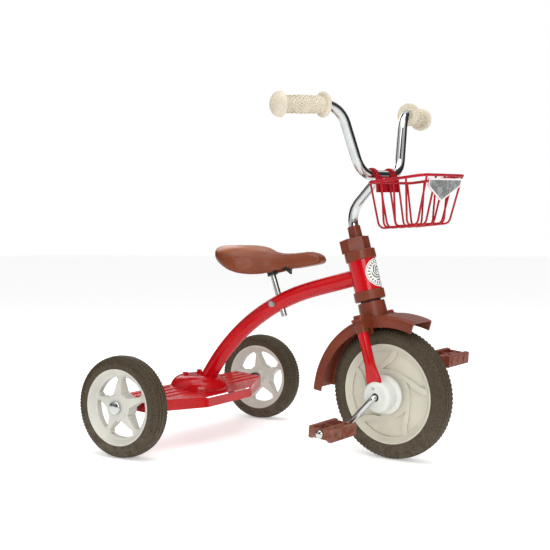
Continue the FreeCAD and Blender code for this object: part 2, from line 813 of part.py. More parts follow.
def make_cover_screws():
    """One pan-head screw through each hub cover into the blade's foot."""
    outer = num("cover_outer")
    screws = []
    for name, side in SIDES:
        shank = Part.makeCylinder(2, outer - 44, Vector(0, side * 44, 17), Vector(0, side, 0))
        head = Part.makeCone(3.3, 2.4, 1.4, Vector(0, side * outer, 17), Vector(0, side, 0))
        screws.append(shank.fuse(head).removeSplitter())
    return made("cover_screws", Part.makeCompound(screws))


keep(make_cover_screws(), fork_at)


def polar(radius, angle, centre=Vector()):
    """A point in the XZ plane at an angle above straight ahead."""
    turn = math.radians(angle)
    return centre + Vector(radius * math.cos(turn), 0, radius * math.sin(turn))


def make_mudguard():
    """The brown moulding: mudguard, neck, and the two sockets over the blades."""
    half, wall, depth = num("guard_half"), num("guard_wall"), num("guard_depth")
    outer = num("guard_radius")
    centre = Vector(num("guard_centre_x"), 0, num("guard_centre_z"))
    front, rear = num("guard_front"), num("guard_rear")

    def channel(inset):
        """The filled section of the guard, spun over its arc."""
        r_out, side, bend = outer - inset, half - inset, 9 - inset
        low = outer - depth - (2 if inset else 0)
        corners = [Vector(low, -side, 0), Vector(r_out - bend, -side, 0),
                   Vector(r_out - bend * 0.29, -side + bend * 0.29, 0), Vector(r_out, -side + bend, 0),
                   Vector(r_out, side - bend, 0), Vector(r_out - bend * 0.29, side - bend * 0.29, 0),
                   Vector(r_out - bend, side, 0), Vector(low, side, 0)]
        edges = [Part.LineSegment(corners[0], corners[1]), Part.Arc(*corners[1:4]),
                 Part.LineSegment(corners[3], corners[4]), Part.Arc(*corners[4:7]),
                 Part.LineSegment(corners[6], corners[7]), Part.LineSegment(corners[7], corners[0])]
        face = Part.Face(Part.Wire([edge.toShape() for edge in edges]))
        over = 4 if inset else 0
        face.rotate(Vector(), CROSS, -(front - over))
        band = face.revolve(Vector(), CROSS, -(rear - front + 2 * over))
        band.translate(centre)
        return band

    # everything on the steering axis is drawn upright and then leant back
    rake = num("rake")
    neck = Part.makeCone(num("neck_radius") + 2, num("neck_radius"), num("neck_high") - 128,
                         Vector(0, 0, 128))
    sockets = []
    for side in (-1, 1):
        foot = Vector(0, side * num("blade_out"), 124)
        sockets.append(Part.makeCylinder(num("blade_radius") + 1.6, 28, foot))
        sockets.append(Part.makeSphere(num("blade_radius") + 1.6, foot + Vector(0, 0, 28)))
    shoulder = Part.Face(Part.makePolygon([
        Vector(0, -58, 130), Vector(0, -61, 140), Vector(0, -54, 152), Vector(0, -27, 157),
        Vector(0, 27, 157), Vector(0, 54, 152), Vector(0, 61, 140), Vector(0, 58, 130),
        Vector(0, 36, 130), Vector(0, 36, 118), Vector(0, -36, 118), Vector(0, -36, 130),
        Vector(0, -58, 130)]))
    shoulder.translate(Vector(-11.9, 0, 0))
    shoulder = shoulder.extrude(Vector(23.8, 0, 0))
    crown = neck.fuse(sockets + [shoulder])
    bores = [Part.makeCylinder(num("steerer_radius"), 80, Vector(0, 0, 110)),
             Part.makeCylinder(17, 10, Vector(0, 0, 143.5)),
             Part.makeBox(23, 137, 5, Vector(-11.5, -68.5, 146)).common(
                 Part.makeCylinder(68.4, 5, Vector(0, 0, 146)))]
    bores += [Part.makeCylinder(num("blade_radius"), 60, Vector(0, side * num("blade_out"), 98))
              for side in (-1, 1)]
    for shape in [crown] + bores:
        shape.rotate(Vector(), CROSS, -rake)
    well = Part.makeCylinder(outer - 12, 2 * (half - wall), centre - Vector(0, half - wall, 0), CROSS)
    guard = channel(0).fuse(crown).cut([channel(wall), well]).cut(bores)
    solids = sorted(guard.Solids, key=lambda solid: solid.Volume)
    return made("mudguard", solids[-1])


keep(make_mudguard(), steer_at)

# ---------------------------------------------------------------- stem, handlebar and grips

def make_steering_nut():
    """The moulded hex nut over the steerer's top; its lobe sits a little to the rear."""
    body = new_body("nut_block")
    sketch = sketch_on(body, "XY_Plane")
    sketch.AttachmentOffset = Placement(Vector(0, 0, num("nut_low")), Rotation())
    across = "nut_flat / sqrt(3)"
    outline(sketch, [("-nut_offset + %s * cos(%d)" % (across, angle), "%s * sin(%d)" % (across, angle))
                     for angle in range(38, 398, 60)])
    pad(body, sketch, "nut_high - nut_low")
    hole = rod("nut_hole", "steerer_radius", "steerer_high - nut_low + 0.5")
    hole.Placement.Base = Vector(0, 0, num("nut_low"))
    through = rod("nut_through", "bar_radius + 0.05", "60")
    through.Placement.Base = Vector(0, 0, num("nut_low"))
    return boolean("Cut", "steering_nut", body, boolean("MultiFuse", "nut_bores", hole, through))


keep(make_steering_nut(), fork_at)
keep(lathe("stem_sleeve", [
    ("bar_radius + 0.15", "nut_high"), ("sleeve_radius + 0.6", "nut_high"),
    ("sleeve_radius", "sleeve_high - 1"), ("sleeve_radius - 1", "sleeve_high"),
    ("bar_radius + 0.15", "sleeve_high")], "XZ_Plane"), fork_at)


def bar_points():
    """The handlebar's vertices, from its left end to its right end."""
    left = [Vector(num("bar_%s_x" % at), num("bar_%s_y" % at), num("bar_%s_z" % at))
            for at in ("end", "top", "low")]
    return left + [Vector(point.x, -point.y, point.z) for point in reversed(left)]


def make_handlebar():
    """One chromed tube bent into a deep U, with swept-back ends for the grips."""
    top, low = num("bar_bend_top"), num("bar_bend_low")
    path = rounded_path(bar_points(), (top, low, low, top))
    solid = swept(path, num("bar_radius")).cut(swept(path, num("bar_radius - bar_wall")))
    return made("handlebar", solid)


def make_stem():
    """The stem tube: up the steering axis, then forward into the bottom of the bar."""
    lean, slope = math.radians(num("rake")), math.radians(num("stem_slope"))
    bar = Vector(num("bar_low_x"), 0, num("bar_low_z"))
    rise = (bar.z - bar.x * math.tan(slope)) / (1 + math.tan(lean) * math.tan(slope))
    corner = Vector(-rise * math.tan(lean), 0, rise)
    low = AXIS * num("stem_low")
    path = rounded_path([low, corner, bar], (num("stem_bend"),))
    stem = swept(path, num("bar_radius")).cut(swept(path, num("bar_radius - bar_wall")))
    return made("stem", stem.cut(Part.makeCylinder(num("bar_radius"), 60, bar - Vector(0, 30, 0), CROSS)))


keep(make_handlebar(), steer_at)
keep(make_stem(), steer_at)

for name, side in SIDES:
    grip = lathe("grip_" + name, [
        ("bar_radius", "0"), ("bar_radius", "grip_length + 3.5"), ("grip_flange - 2", "grip_length + 3.5"),
        ("grip_flange", "grip_length + 1.5", "2"), ("grip_flange", "grip_length - 1.5"),
        ("grip_flange - 2", "grip_length - 3.5", "2"), ("grip_body + 0.6", "grip_length - 4.5"),
        ("grip_body + 1.6", "grip_length / 2", "400"), ("grip_body", "6", "400"),
        ("grip_flange - 3", "4.5"), ("grip_flange", "1"), ("grip_flange - 2", "-6"),
        ("grip_flange - 11", "-12.5", "-22"), ("2", "-14.2", "-30"), ("0", "-14.2"), ("0", "0")])
    end, top = bar_points()[:2]
    if side < 0:
        end, top = bar_points()[:-3:-1]
    keep(grip, steer_at * Placement(end, Rotation(CROSS, top - end)))

# ---------------------------------------------------------------- front wheel, crank and pedals

def swirl(radius, angle):
    """Sketch formulas for a point given by radius and angle."""
    return "(%s) * cos(%s)" % (radius, angle), "(%s) * sin(%s)" % (radius, angle)


# one swept panel of the front wheel: radius, and angle from where it starts at the rim
SWIRL = ((84, 4), (84.6, 20), (84.6, 36), (84.6, 52), (84, 68), (72, 70), (63, 75), (55.5, 83), (50.5, 93),
         (48, 98), (47.8, 84), (48, 70), (48.6, 56), (50.5, 43), (55, 31), (62, 20), (72, 9))


def make_front_disc():
    """The solid disc wheel with five swept panels sunk into each face."""
    face = lathe("front_disc_blank", [
        ("crank_radius", "-wheel_boss_half"), ("wheel_boss", "-wheel_boss_half"),
        ("wheel_boss + 2", "-15"), ("40", "-13"), ("86", "-12"), ("front_lip - 2.5", "-19"),
        ("front_lip", "-19"), ("front_lip", "-17.2"), ("front_lip - 4.5", "-17.2"),
        ("front_lip - 4.5", "17.2"), ("front_lip", "17.2"), ("front_lip", "19"),
        ("front_lip - 2.5", "19"), ("86", "12"), ("40", "13"), ("wheel_boss + 2", "15"),
        ("wheel_boss", "wheel_boss_half"), ("crank_radius", "wheel_boss_half")])
    for way in (1, -1):
        sketch = sketch_on(face, "XZ_Plane")
        sketch.AttachmentOffset = Placement(Vector(0, 0, way * 8.5), Rotation())
        outline(sketch, [swirl(radius, way * angle) for radius, angle in SWIRL])
        panel = face.newObject("PartDesign::Pocket", "panel_%s" % ("right" if way > 0 else "left"))
        panel.Profile = sketch
        panel.Type = "ThroughAll"
        panel.Reversed = way > 0
        doc.recompute()
        ring = face.newObject("PartDesign::PolarPattern", panel.Name + "s")
        ring.Originals = [panel]
        ring.Axis = (sketch, ["N_Axis"])
        ring.Angle = 360
        ring.Occurrences = 5
        face.Tip = ring
        doc.recompute()
    face.Label = "front_wheel"
    return face


def make_tyre(label, radius, lip, half, well):
    """A solid tyre seated between the rim's lips."""
    return lathe(label, [
        ("%s - %s" % (lip, well), "-(%s)" % (half + " - 4.1")),
        ("%s + 0.2" % lip, "-(%s - 4.1)" % half), ("%s + 0.4" % lip, "-(%s - 1.6)" % half),
        ("%s + 7" % lip, "-(%s)" % half), ("%s - 10" % radius, "-(%s)" % half),
        ("%s - 4" % radius, "-(%s - 4)" % half), ("%s" % radius, "0", "60"),
        ("%s - 4" % radius, "%s - 4" % half, "60"), ("%s - 10" % radius, half),
        ("%s + 7" % lip, half), ("%s + 0.4" % lip, "%s - 1.6" % half),
        ("%s + 0.2" % lip, "%s - 4.1" % half), ("%s - %s" % (lip, well), "%s - 4.1" % half)])


keep(make_front_disc(), steer_at * Placement(Vector(), Rotation(CROSS, -79)))
keep(make_tyre("front_tyre", "front_radius", "front_lip", "front_half", "4.5"), steer_at)

crank_at = steer_at * Placement(Vector(), Rotation(CROSS, num("crank_turn")))


def make_crank():
    """The one-piece bent crank rod, from pedal pin to pedal pin."""
    throw, bend = num("crank_throw"), num("crank_bend")
    half = [Vector(0, num("crank_shoulder"), 0), Vector(-throw, num("pin_shoulder"), 0),
            Vector(-throw, num("pin_end"), 0)]
    path = rounded_path([-point for point in reversed(half)] + half, (bend,) * 4)
    return made("crank", swept(path, num("crank_radius")))


keep(make_crank(), crank_at)


def make_pedal(name, side):
    """A moulded pedal: two studded treads, two end plates and the tube on the pin."""
    long, deep, high = num("pedal_length"), num("pedal_depth"), num("pedal_height")
    pieces = []
    for way in (-1, 1):
        tread = Part.makeBox(10, long, high, Vector(way * (deep / 2 - 5) - 5, 0, -high / 2))
        tread = tread.makeFillet(2, [edge for edge in tread.Edges if abs(edge.tangentAt(0).y) > 0.9])
        pieces.append(tread)
        for stud in (0.2, 0.5, 0.8):
            pieces.append(Part.makeCylinder(6.5, 1.4, Vector(way * (deep / 2 - 0.4), long * stud, 0),
                                            Vector(way, 0, 0)))
    for start in (0, long / 2 - 2, long - 5):
        pieces.append(Part.makeBox(deep - 6, 4 if start == long / 2 - 2 else 5, high - 5,
                                   Vector(-(deep - 6) / 2, start, -(high - 5) / 2)))
    pieces.append(Part.makeCylinder(8.5, long, Vector(), CROSS))
    bore = Part.makeCylinder(num("crank_radius + bush_gap"), long + 2, Vector(0, -1, 0), CROSS)
    pedal = pieces[0].fuse(pieces[1:]).cut(bore).removeSplitter()
    if side < 0:
        pedal.rotate(Vector(), Vector(0, 0, 1), 180)
    return made("pedal_" + name, pedal)


def pin_point(side):
    """Where a pedal's inner end sits on its pin, from the front wheel's centre."""
    turn = math.radians(num("crank_turn"))
    throw = num("crank_throw")
    return Vector(-side * throw * math.cos(turn), side * num("pedal_start"),
                  side * throw * math.sin(turn))


for name, side in SIDES:
    lean = Rotation(CROSS, num("pedal_tilt"))
    keep(make_pedal(name, side), steer_at * Placement(pin_point(side), lean))
    turned = Rotation(Vector(0, 0, 1), 0 if side > 0 else 180)
    keep(lathe("pin_cap_" + name, [
        ("0", "pin_end - pedal_start"), ("crank_radius", "pin_end - pedal_start"),
        ("crank_radius", "pedal_length + 0.5"), ("8", "pedal_length + 0.5"),
        ("8", "pedal_length + 4"), ("1.5", "pedal_length + 7.5", "9"),
        ("0", "pedal_length + 7.5")]),
         steer_at * Placement(pin_point(side), turned))

# ---------------------------------------------------------------- rear wheels

def window(inner, outer, half_in, half_out, corner):
    """Formulas for one rounded window between two spokes, centred on the X axis."""
    return [
        swirl(inner, -half_in + corner), swirl(inner, half_in - corner) + (inner,),
        swirl("%s + 5" % inner, half_in) + ("5.5",), swirl("%s - 6" % outer, half_out),
        swirl(outer, half_out - corner + 1) + ("6.5",), swirl(outer, corner - 1 - half_out) + ("-%s" % outer,),
        swirl("%s - 6" % outer, -half_out) + ("6.5",), swirl("%s + 5" % inner, -half_in),
        swirl(inner, -half_in + corner) + ("5.5",)][:-1]


def make_rear_rim(name):
    """The five-spoke moulded wheel, dished outwards to its hub."""
    rim = lathe("rear_rim_" + name, [
        ("7.5", "-22"), ("13", "-22"), ("15", "-10"), ("60", "-5"), ("70", "-17"),
        ("rear_lip - 2", "-19.8"), ("rear_lip", "-19.8"), ("rear_lip", "-18"),
        ("rear_lip - 4", "-17"), ("rear_lip - 4", "17"), ("rear_lip", "18"),
        ("rear_lip", "19.8"), ("rear_lip - 2.4", "19.8"), ("64", "8"), ("61", "6.5"),
        ("rear_hub + 1", "17"), ("rear_hub - 1.5", "21.5"), ("7.5", "21.5")])
    sketch = sketch_on(rim, "XZ_Plane")
    outline(sketch, window("27.5", "60", 21.5, 32, 5))
    hole = pocket(rim, sketch)
    doc.recompute()
    ring = rim.newObject("PartDesign::PolarPattern", "windows_" + name)
    ring.Originals = [hole]
    ring.Axis = (sketch, ["N_Axis"])
    ring.Angle = 360
    ring.Occurrences = 5
    rim.Tip = ring
    return rim


for name, side in SIDES:
    rolled = num("rear_turn_" + name)
    keep(make_rear_rim(name), at_axle(side, rolled))
    keep(make_tyre("rear_tyre_" + name, "rear_radius", "rear_lip", "rear_half + 1", "4"),
         at_axle(side, rolled))
    keep(lathe("rear_bush_" + name, [
        ("axle_radius + bush_gap", "-23.5"), ("11", "-23.5"), ("11", "-22"), ("7.5", "-22"),
        ("7.5", "21.5"), ("11", "21.5"), ("11", "22"), ("axle_radius + bush_gap", "22")]),
         at_axle(side, rolled))

# ---------------------------------------------------------------- basket

def closed_ring(points, radius, wire):
    """A round wire bent into a closed rounded rectangle."""
    start = (points[0] + points[1]) / 2
    path = rounded_path([start] + points[1:] + [points[0], start], (radius,) * 4)
    return swept(path, wire)


def make_basket():
    """The red moulded basket: a rim, ribs looped under it, and a plate with two hooks."""
    rim, rib = num("rim_wire"), num("rib_wire")
    depth, half, high = num("basket_depth"), num("basket_half"), num("basket_height")
    corner = num("basket_corner")
    solids = [closed_ring([Vector(0, -half, 0), Vector(depth, -half, 0),
                           Vector(depth, half, 0), Vector(0, half, 0)], corner, rim)]
    back_low, front_low, half_low = 6.5, depth - 33, half - 9
    for index in range(5):
        share = (index - 2) / 2
        top_y, low_y = share * (half - 11), share * (half_low - 9)
        path = rounded_path([Vector(0, top_y, 0), Vector(back_low, low_y, -high),
                             Vector(front_low, low_y, -high), Vector(depth, top_y, 0)], (13, 13))
        solids.append(swept(path, rib))
    for index in range(3):
        top_x = 32 + 26 * index
        low_x = back_low + 16 + (front_low - back_low - 32) * index / 2
        path = rounded_path([Vector(top_x, -half, 0), Vector(low_x, -half_low, -high + 1.5),
                             Vector(low_x, half_low, -high + 1.5), Vector(top_x, half, 0)], (13, 13))
        solids.append(swept(path, rib))
    tilt = Rotation(CROSS, -num("basket_tilt"))
    rim_back = Vector(num("basket_back"), 0, -num("basket_drop"))
    frame = Placement(rim_back, tilt)
    for solid in solids:
        solid.Placement = frame
    inner = num("bar_radius + hook_gap")
    outer = inner + num("hook_thick")
    plate_back = num("basket_back - 6.4")
    plate = Part.makeBox(5.4, 72, 29, Vector(plate_back, -36, -33))
    slots = [Part.makeBox(10, 12, 2.6, Vector(plate_back - 2, y, -8)) for y in (-18, 6)]
    hooks = []
    for way in (-1, 1):
        middle = way * num("hook_out")
        width = num("hook_width")
        ring = Part.makeCylinder(outer, width, Vector(0, middle - width / 2, 0), CROSS, 145)
        ring = ring.cut(Part.makeCylinder(inner, width, Vector(0, middle - width / 2, 0), CROSS))
        ring.rotate(Vector(), CROSS, -49)
        hooks.append(ring)
        hooks.append(Part.makeBox(plate_back + 4 - inner, width, 12, Vector(inner, middle - width / 2, -11)))
    body = solids[0].fuse(solids[1:] + [plate] + hooks).cut(slots)
    return made("basket", body)


def make_basket_badge():
    """A plain shield-shaped plate hung inside the basket's front."""
    depth, drop = num("basket_depth"), num("basket_height")
    shield = [(-60, -6), (60, -6), (58, -21), (0, -50), (-58, -21), (-60, -6)]
    face = Part.Face(Part.makePolygon([Vector(0, y, z) for y, z in shield]))
    plate = face.extrude(Vector(1.6, 0, 0))
    lean = math.degrees(math.atan2(33, drop))
    plate.rotate(Vector(), CROSS, lean)
    plate.translate(Vector(depth + 2.8, 0, 0))
    plate.Placement = Placement(Vector(num("basket_back"), 0, -num("basket_drop")),
                                Rotation(CROSS, -num("basket_tilt"))).multiply(plate.Placement)
    return made("basket_badge", plate)


bar_at = steer_at * Placement(Vector(num("bar_low_x"), 0, num("bar_low_z")), Rotation())
keep(make_basket(), bar_at)
keep(make_basket_badge(), bar_at)

doc.recompute()
for item in doc.Objects:
    if "Invalid" in item.State or "Error" in item.State:
        raise RuntimeError("%s did not compute: %s" % (item.Label, item.State))

os.makedirs("parts", exist_ok=True)
for piece in PARTS:
    shape = piece.Shape
    if shape.isNull() or not shape.isValid() or not shape.Solids:
        raise RuntimeError("%s has no valid solid" % piece.Label)
    shape.exportStep("parts/%s.step" % piece.Label)
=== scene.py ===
"""A child's tricycle: red tube frame, brown mouldings, pale wheels, chromed bars, padded saddle."""

import math

import bmesh
import bpy
from mathutils import Matrix, Vector


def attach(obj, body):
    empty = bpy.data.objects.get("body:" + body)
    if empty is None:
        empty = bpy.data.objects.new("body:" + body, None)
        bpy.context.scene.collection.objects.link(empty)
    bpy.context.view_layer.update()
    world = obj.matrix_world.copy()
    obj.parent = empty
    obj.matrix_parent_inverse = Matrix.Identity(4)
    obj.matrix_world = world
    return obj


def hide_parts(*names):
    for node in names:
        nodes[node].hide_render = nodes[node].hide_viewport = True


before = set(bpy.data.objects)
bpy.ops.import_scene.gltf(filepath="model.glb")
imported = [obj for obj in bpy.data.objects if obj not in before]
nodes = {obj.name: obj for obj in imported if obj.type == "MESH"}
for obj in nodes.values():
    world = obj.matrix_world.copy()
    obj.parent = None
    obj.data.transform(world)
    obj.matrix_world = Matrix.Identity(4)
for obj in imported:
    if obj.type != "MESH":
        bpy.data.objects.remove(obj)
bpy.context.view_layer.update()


# ------------------------------------------------------------------ camera, light and floor
# A small studio: a low camera ahead and to the right of the tricycle, a pale floor that runs on into
# a white surround, one broad lamp overhead, one from the front, and grey card for chrome to reflect.

studio = bpy.context.scene
camera_place = (0.9879, -1.7158, 0.4125)
yaw, pitch, roll = math.radians(31.2), math.radians(1.76), math.radians(-0.23)
camera = bpy.data.objects.new("camera", bpy.data.cameras.new("camera"))
studio.collection.objects.link(camera)
studio.camera = camera
camera.data.lens = 63.71
camera.data.sensor_width = 36
camera.data.clip_end = 60
camera.matrix_world = (Matrix.Translation(camera_place) @ Matrix.Rotation(yaw, 4, "Z")
                       @ Matrix.Rotation(math.pi / 2 - pitch, 4, "X") @ Matrix.Rotation(roll, 4, "Z"))

lamps_aim = Vector((0, 0, 0.3))
for name, place, size, power in (("overhead lamp", (0.3, -0.5, 2.4), 2.2, 34),
                                 ("front lamp", (2.2, -2.6, 1.5), 1.6, 36),
                                 ("rear lamp", (-2.0, 1.6, 1.8), 1.5, 14)):
    lamp = bpy.data.objects.new(name, bpy.data.lights.new(name, "AREA"))
    studio.collection.objects.link(lamp)
    lamp.data.size, lamp.data.energy = size, power
    lamp.location = place
    lamp.rotation_euler = (lamps_aim - lamp.location).to_track_quat("-Z", "Y").to_euler()


def add(tree, kind, settings=(), **inputs):
    """A node with some of its inputs set to values or linked from sockets."""
    made = tree.nodes.new("ShaderNode" + kind)
    for key, value in dict(settings).items():
        setattr(made, key, value)
    for key, value in inputs.items():
        socket = made.inputs[int(key[1:])] if key[0] == "i" and key[1:].isdigit() else made.inputs[key]
        if isinstance(value, bpy.types.NodeSocket):
            tree.links.new(value, socket)
        else:
            socket.default_value = value
    return made


# What the camera sees of the surround is white, and the light it gives is a little less than that.
surround_light = 0.66
world = bpy.data.worlds.new("white surround")
studio.world = world
world.use_nodes = True
sky = world.node_tree
white = sky.nodes["Background"]
white.inputs["Color"].default_value = (1, 1, 1, 1)
ray = add(sky, "LightPath")
dimmer = add(sky, "MapRange", i0=ray.outputs["Is Camera Ray"], i3=surround_light)
sky.links.new(dimmer.outputs[0], white.inputs["Strength"])

# What shiny metal sees is grey card, darkest at the horizon and split into upright strips.
card_tones = ((0.0, 0.4), (0.40, 0.3), (0.46, 0.12), (0.56, 0.12), (0.64, 0.35), (0.8, 0.6), (1.0, 0.9))
strip_count, strip_turn = 3.0, 2.3
darkest_strip, brightest_strip = 0.1, 1.2
ramp = add(sky, "ValToRGB")
for at, tone in card_tones:
    stop = ramp.color_ramp.elements.new(at)
    stop.color = (tone, tone, tone, 1)
ramp.color_ramp.elements.remove(ramp.color_ramp.elements[0])
ramp.color_ramp.elements.remove(ramp.color_ramp.elements[-1])
bearings = add(sky, "SeparateXYZ", i0=add(sky, "TexCoord").outputs["Generated"])
level = add(sky, "MapRange", i0=bearings.outputs["Z"], i1=-1)
sky.links.new(level.outputs["Result"], ramp.inputs["Fac"])
bearing = add(sky, "Math", {"operation": "ARCTAN2"}, i0=bearings.outputs["Y"], i1=bearings.outputs["X"])
turned = add(sky, "Math", {"operation": "MULTIPLY_ADD"}, i0=bearing.outputs[0], i1=strip_count,
             i2=strip_turn)
strips = add(sky, "Math", {"operation": "SINE"}, i0=turned.outputs[0])
softened = add(sky, "MapRange", i0=strips.outputs[0], i1=-0.3, i2=0.5, i3=darkest_strip,
               i4=brightest_strip)
card = add(sky, "Background", Color=ramp.outputs["Color"], Strength=softened.outputs[0])
seen = add(sky, "MixShader", i0=ray.outputs["Is Glossy Ray"], i1=white.outputs[0], i2=card.outputs[0])
sky.links.new(seen.outputs[0], sky.nodes["World Output"].inputs["Surface"])
studio.view_settings.view_transform = "Standard"

floor_shape = bmesh.new()
floor_half = 30
bmesh.ops.create_grid(floor_shape, x_segments=1, y_segments=1, size=floor_half)
floor_mesh = bpy.data.meshes.new("floor")
floor_shape.to_mesh(floor_mesh)
floor_shape.free()
floor = bpy.data.objects.new("floor", floor_mesh)
studio.collection.objects.link(floor)
floor_paint = bpy.data.materials.new("pale floor")
floor_paint.use_nodes = True
floor_tree = floor_paint.node_tree
floor_shader = floor_tree.nodes["Principled BSDF"]
floor_shader.inputs["Base Color"].default_value = (0.93, 0.93, 0.93, 1)
floor_shader.inputs["Roughness"].default_value = 0.9
floor_shader.inputs["Emission Color"].default_value = (1, 1, 1, 1)
floor_glow, floor_glow_in_metal = 0.36, 0.1
glow = add(floor_tree, "MapRange", i0=add(floor_tree, "LightPath").outputs["Is Glossy Ray"],
           i3=floor_glow, i4=floor_glow_in_metal)
floor_tree.links.new(glow.outputs[0], floor_shader.inputs["Emission Strength"])
floor_mesh.materials.append(floor_paint)


# ------------------------------------------------------------------ red enamelled steel
# The bent main tube, head tube, steerer, fork blades and the pressed footboard with its bolts are mild
# steel with one thick coat of bright red enamel, which dries with faint orange peel and picks up dust
# low down.

def new_group(name, inputs, outputs):
    """An empty shader group with named sockets, its input node and its output node."""
    tree = bpy.data.node_groups.new(name, "ShaderNodeTree")
    for label, kind, value in inputs:
        tree.interface.new_socket(label, in_out="INPUT", socket_type=kind).default_value = value
    for label, kind in outputs:
        tree.interface.new_socket(label, in_out="OUTPUT", socket_type=kind)
    return tree, tree.nodes.new("NodeGroupInput"), tree.nodes.new("NodeGroupOutput")


NUMBER, TINT = "NodeSocketFloat", "NodeSocketColor"


def tone_group():
    """Slow mottling between two tones."""
    tree, given, out = new_group("uneven tone", [
        ("Tone", TINT, (1, 1, 1, 1)), ("Other Tone", TINT, (0, 0, 0, 1)), ("Size", NUMBER, 20.0),
        ("Spread", NUMBER, 0.2)], [("Color", TINT), ("Mask", NUMBER)])
    where = add(tree, "TexCoord")
    cloud = add(tree, "TexNoise", Vector=where.outputs["Object"], Scale=given.outputs["Size"], Detail=5.0,
                Roughness=0.6)
    low = add(tree, "Math", {"operation": "SUBTRACT"}, i0=0.5, i1=given.outputs["Spread"])
    high = add(tree, "Math", {"operation": "ADD"}, i0=0.5, i1=given.outputs["Spread"])
    share = add(tree, "MapRange", {"interpolation_type": "SMOOTHSTEP"}, i0=cloud.outputs["Fac"],
                i1=low.outputs[0], i2=high.outputs[0])
    mix = add(tree, "Mix", {"data_type": "RGBA"}, Factor=share.outputs[0])
    tree.links.new(given.outputs["Tone"], mix.inputs[6])
    tree.links.new(given.outputs["Other Tone"], mix.inputs[7])
    tree.links.new(mix.outputs[2], out.inputs["Color"])
    tree.links.new(share.outputs[0], out.inputs["Mask"])
    return tree


def skin_group():
    """A fine surface grain, and a gloss that varies slowly over it."""
    tree, given, out = new_group("surface skin", [
        ("Grain", NUMBER, 400.0), ("Gloss Patches", NUMBER, 12.0), ("Smoothest", NUMBER, 0.2),
        ("Roughest", NUMBER, 0.35)], [("Height", NUMBER), ("Roughness", NUMBER)])
    where = add(tree, "TexCoord")
    grain = add(tree, "TexNoise", Vector=where.outputs["Object"], Scale=given.outputs["Grain"], Detail=2.0)
    patch = add(tree, "TexNoise", Vector=where.outputs["Object"], Scale=given.outputs["Gloss Patches"],
                Detail=4.0)
    rough = add(tree, "MapRange", i0=patch.outputs["Fac"], i1=0.35, i2=0.65,
                i3=given.outputs["Smoothest"], i4=given.outputs["Roughest"])
    tree.links.new(grain.outputs["Fac"], out.inputs["Height"])
    tree.links.new(rough.outputs[0], out.inputs["Roughness"])
    return tree


def scuff_group():
    """Short hairline scratches in two directions."""
    tree, given, out = new_group("hairline scuffs", [
        ("Size", NUMBER, 60.0), ("Amount", NUMBER, 0.3)], [("Mask", NUMBER)])
    where = add(tree, "TexCoord")
    lines = []
    for turn, stretch in (((0.3, 0.5, 0.2), (1, 14, 1)), ((1.2, 0.2, 0.9), (12, 1, 1))):
        placed = add(tree, "Mapping", Vector=where.outputs["Object"], Rotation=turn, Scale=stretch)
        line = add(tree, "TexNoise", Vector=placed.outputs[0], Scale=given.outputs["Size"], Detail=1.0)
        lines.append(add(tree, "MapRange", i0=line.outputs["Fac"], i1=0.69, i2=0.74))
    both = add(tree, "Math", {"operation": "MAXIMUM"}, i0=lines[0].outputs[0], i1=lines[1].outputs[0])
    some = add(tree, "Math", {"operation": "MULTIPLY"}, i0=both.outputs[0], i1=given.outputs["Amount"])
    tree.links.new(some.outputs[0], out.inputs["Mask"])
    return tree


def dust_group():
    """Dust that thins out with height above the floor."""
    tree, given, out = new_group("floor dust", [
        ("Reach", NUMBER, 0.12), ("Amount", NUMBER, 0.3)], [("Mask", NUMBER)])
    where = add(tree, "TexCoord")
    axes = add(tree, "SeparateXYZ", i0=where.outputs["Object"])
    fade = add(tree, "MapRange", i0=axes.outputs["Z"], i1=0.0, i2=given.outputs["Reach"], i3=1.0, i4=0.0)
    specks = add(tree, "TexNoise", Vector=where.outputs["Object"], Scale=70.0, Detail=6.0, Roughness=0.7)
    lumps = add(tree, "MapRange", i0=specks.outputs["Fac"], i1=0.4, i2=0.62)
    both = add(tree, "Math", {"operation": "MULTIPLY"}, i0=fade.outputs[0], i1=lumps.outputs[0])
    some = add(tree, "Math", {"operation": "MULTIPLY"}, i0=both.outputs[0], i1=given.outputs["Amount"])
    tree.links.new(some.outputs[0], out.inputs["Mask"])
    return tree


uneven_tone = tone_group()
surface_skin = skin_group()
hairline_scuffs = scuff_group()
floor_dust = dust_group()
DUST = (0.52, 0.46, 0.38, 1)
COAT_ROUGHNESS = 0.06
METAL_SPECULAR, OTHER_SPECULAR = 0.5, 0.3
DUST_DULLS = 0.5


